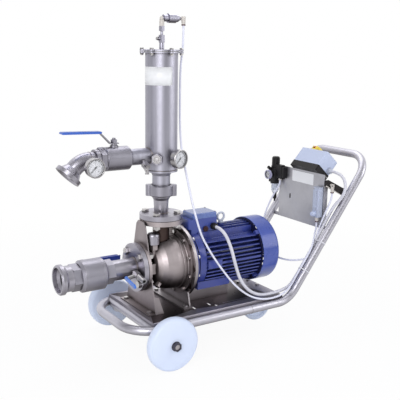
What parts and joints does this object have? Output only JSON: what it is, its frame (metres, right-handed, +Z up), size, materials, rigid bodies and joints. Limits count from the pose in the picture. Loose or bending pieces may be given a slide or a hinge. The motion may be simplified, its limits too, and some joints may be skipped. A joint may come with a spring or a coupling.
{
  "type": "flotation pump",
  "caption": "Stainless centrifugal pump with a blue motor and an upright air mixing column on a wheeled tube trolley with a push handle, ball valves, pressure gauges and a control panel.",
  "frame": {"origin": "on the floor under the middle of the overall length, midway between the two rails", "axes": "+X along the pump shaft from the suction coupling towards the push handle, +Z up"},
  "size_m": [1.3546, 0.572, 1.259],
  "materials": {
    "front_loop": "brushed stainless tube",
    "handle_loop": "brushed stainless tube",
    "base_plate": "brushed stainless sheet",
    "front_axle": "turned steel",
    "front_wheel_near": "white nylon",
    "front_wheel_far": "white nylon",
    "caster_plate": "zinc plated steel",
    "caster_fork": "zinc plated steel",
    "caster_wheel": "white nylon",
    "pump_casing": "polished pressed stainless",
    "pipe_plugs": "turned stainless",
    "motor_adapter": "satin stainless",
    "seals": "sealing plastic",
    "hex_bolts": "stainless fasteners",
    "flange_bolts": "stainless fasteners",
    "pump_rotor": "machined stainless",
    "motor_frame": "blue enamel on cast aluminium",
    "fan_cover": "blue enamel on pressed steel",
    "terminal_box": "blue enamel",
    "terminal_lid": "blue enamel",
    "cable_glands": "black nylon",
    "eye_bolt": "blue enamel",
    "suction_bracket": "folded stainless sheet",
    "pump_supports": "folded stainless sheet",
    "counter_flanges": "turned stainless",
    "suction_valve_body": "cast and turned stainless",
    "suction_ball": "polished ball",
    "suction_lever": "steel strip in a blue sleeve",
    "hose_coupling": "turned stainless",
    "drain_cocks": "turned stainless",
    "drain_lever": "blue plastic",
    "sample_lever": "steel",
    "union_nut": "cast stainless",
    "column_shell": "brushed stainless",
    "column_lid": "brushed stainless",
    "air_injector": "plated brass",
    "top_valve_knob": "black knob",
    "push_fittings": "ivory acetal",
    "branch_valve_body": "cast and turned stainless",
    "branch_ball": "polished ball",
    "branch_lever": "steel strip in a blue sleeve",
    "outlet_elbow": "welded stainless",
    "gauges": "stainless case with a white dial",
    "column_needle": "black",
    "outlet_needle": "black",
    "panel": "folded stainless sheet",
    "panel_strut": "black",
    "starter_base": "black moulding",
    "starter_cover": "light grey moulding",
    "estop_guard": "yellow moulding",
    "estop_button": "red mushroom",
    "flow_meter": "clear acrylic block",
    "meter_float": "steel float",
    "meter_knob": "black knob",
    "regulator_body": "black moulding",
    "regulator_bowl": "clear bowl",
    "regulator_knob": "black moulding",
    "power_cable": "grey jacket",
    "air_hose": "white tube",
    "pilot_hose": "white tube"
  },
  "bodies": {
    "trolley": {"handle_loop": "handle_loop", "base_plate": "base_plate", "front_loop": "front_loop", "front_axle": "front_axle", "caster_plate": "caster_plate", "pump_casing": "pump_casing", "motor_adapter": "motor_adapter", "motor_frame": "motor_frame", "fan_cover": "fan_cover", "terminal_box": "terminal_box", "terminal_lid": "terminal_lid", "eye_bolt": "eye_bolt", "suction_bracket": "suction_bracket", "pump_supports": "pump_supports", "flange_bolts": "flange_bolts", "suction_valve_body": "suction_valve_body", "hose_coupling": "hose_coupling", "counter_flanges": "counter_flanges", "union_nut": "union_nut", "column_shell": "column_shell", "column_lid": "column_lid", "hex_bolts": "hex_bolts", "pipe_plugs": "pipe_plugs", "air_injector": "air_injector", "seals": "seals", "branch_valve_body": "branch_valve_body", "outlet_elbow": "outlet_elbow", "gauges": "gauges", "drain_cocks": "drain_cocks", "panel": "panel", "panel_strut": "panel_strut", "starter_base": "starter_base", "starter_cover": "starter_cover", "estop_guard": "estop_guard", "flow_meter": "flow_meter", "push_fittings": "push_fittings", "regulator_body": "regulator_body", "regulator_bowl": "regulator_bowl", "cable_glands": "cable_glands", "power_cable": "power_cable", "air_hose": "air_hose", "pilot_hose": "pilot_hose"},
    "front_wheel_near": {"front_wheel_near": "front_wheel_near"},
    "front_wheel_far": {"front_wheel_far": "front_wheel_far"},
    "caster_swivel": {"caster_fork": "caster_fork"},
    "caster_roller": {"caster_wheel": "caster_wheel"},
    "rotor": {"pump_rotor": "pump_rotor"},
    "suction_valve_key": {"suction_ball": "suction_ball", "suction_lever": "suction_lever"},
    "branch_valve_key": {"branch_ball": "branch_ball", "branch_lever": "branch_lever"},
    "drain_key": {"drain_lever": "drain_lever"},
    "sample_key": {"sample_lever": "sample_lever"},
    "air_needle_key": {"top_valve_knob": "top_valve_knob"},
    "column_gauge_hand": {"column_needle": "column_needle"},
    "outlet_gauge_hand": {"outlet_needle": "outlet_needle"},
    "stop_button": {"estop_button": "estop_button"},
    "flow_float": {"meter_float": "meter_float"},
    "flow_key": {"meter_knob": "meter_knob"},
    "pressure_key": {"regulator_knob": "regulator_knob"}
  },
  "joints": [
    {"name": "near_wheel_spin", "type": "hinge", "parent": "trolley", "child": "front_wheel_near", "pos_m": [-0.34728, -0.249, 0.1], "axis": [0, 1, 0], "continuous": true},
    {"name": "far_wheel_spin", "type": "hinge", "parent": "trolley", "child": "front_wheel_far", "pos_m": [-0.34728, 0.249, 0.1], "axis": [0, 1, 0], "continuous": true},
    {"name": "caster_swivel_turn", "type": "hinge", "parent": "trolley", "child": "caster_swivel", "pos_m": [0.17172, 0, 0.1625], "axis": [0, 0, 1], "continuous": true},
    {"name": "caster_wheel_spin", "type": "hinge", "parent": "caster_swivel", "child": "caster_roller", "pos_m": [0.20898, -0.00745, 0.0625], "axis": [0.1959, 0.9806, 0], "continuous": true},
    {"name": "rotor_spin", "type": "hinge", "parent": "trolley", "child": "rotor", "pos_m": [-0.25328, 0, 0.3224], "axis": [1, 0, 0], "continuous": true},
    {"name": "suction_valve_turn", "type": "hinge", "parent": "trolley", "child": "suction_valve_key", "pos_m": [-0.54828, 0, 0.3224], "axis": [0, -0.9781, -0.2079], "range_deg": [0, 90]},
    {"name": "branch_valve_turn", "type": "hinge", "parent": "trolley", "child": "branch_valve_key", "pos_m": [-0.44928, 0, 0.744], "axis": [0, 0, 1], "range_deg": [0, 90]},
    {"name": "drain_valve_turn", "type": "hinge", "parent": "trolley", "child": "drain_key", "pos_m": [-0.38928, -0.05909, 0.31198], "axis": [-0.9781, 0.0361, -0.2048], "range_deg": [0, 90]},
    {"name": "sample_cock_turn", "type": "hinge", "parent": "trolley", "child": "sample_key", "pos_m": [-0.34328, -0.04781, 0.71858], "axis": [-1, 0, 0], "range_deg": [0, 90]},
    {"name": "air_needle_turn", "type": "hinge", "parent": "trolley", "child": "air_needle_key", "pos_m": [-0.25328, 0, 1.169], "axis": [-1, 0, 0], "range_deg": [0, 360]},
    {"name": "column_gauge_turn", "type": "hinge", "parent": "trolley", "child": "column_gauge_hand", "pos_m": [-0.23309, -0.07534, 0.739], "axis": [-0.2588, 0.9659, 0], "range_deg": [0, 270]},
    {"name": "outlet_gauge_turn", "type": "hinge", "parent": "trolley", "child": "outlet_gauge_hand", "pos_m": [-0.55828, -0.059, 0.729], "axis": [0, 1, 0], "range_deg": [0, 270]},
    {"name": "stop_press", "type": "slide", "parent": "trolley", "child": "stop_button", "axis": [-0.6756, 0, -0.7373], "range_m": [0, 0.005]},
    {"name": "float_rise", "type": "slide", "parent": "trolley", "child": "flow_float", "axis": [0, 0, 1], "range_m": [0, 0.072]},
    {"name": "flow_knob_turn", "type": "hinge", "parent": "trolley", "child": "flow_key", "pos_m": [0.41872, -0.125, 0.466], "axis": [-1, 0, 0], "range_deg": [0, 360]},
    {"name": "pressure_knob_turn", "type": "hinge", "parent": "trolley", "child": "pressure_key", "pos_m": [0.44372, 0.172, 0.625], "axis": [0, 0, 1], "range_deg": [-360, 360]}
  ]
}
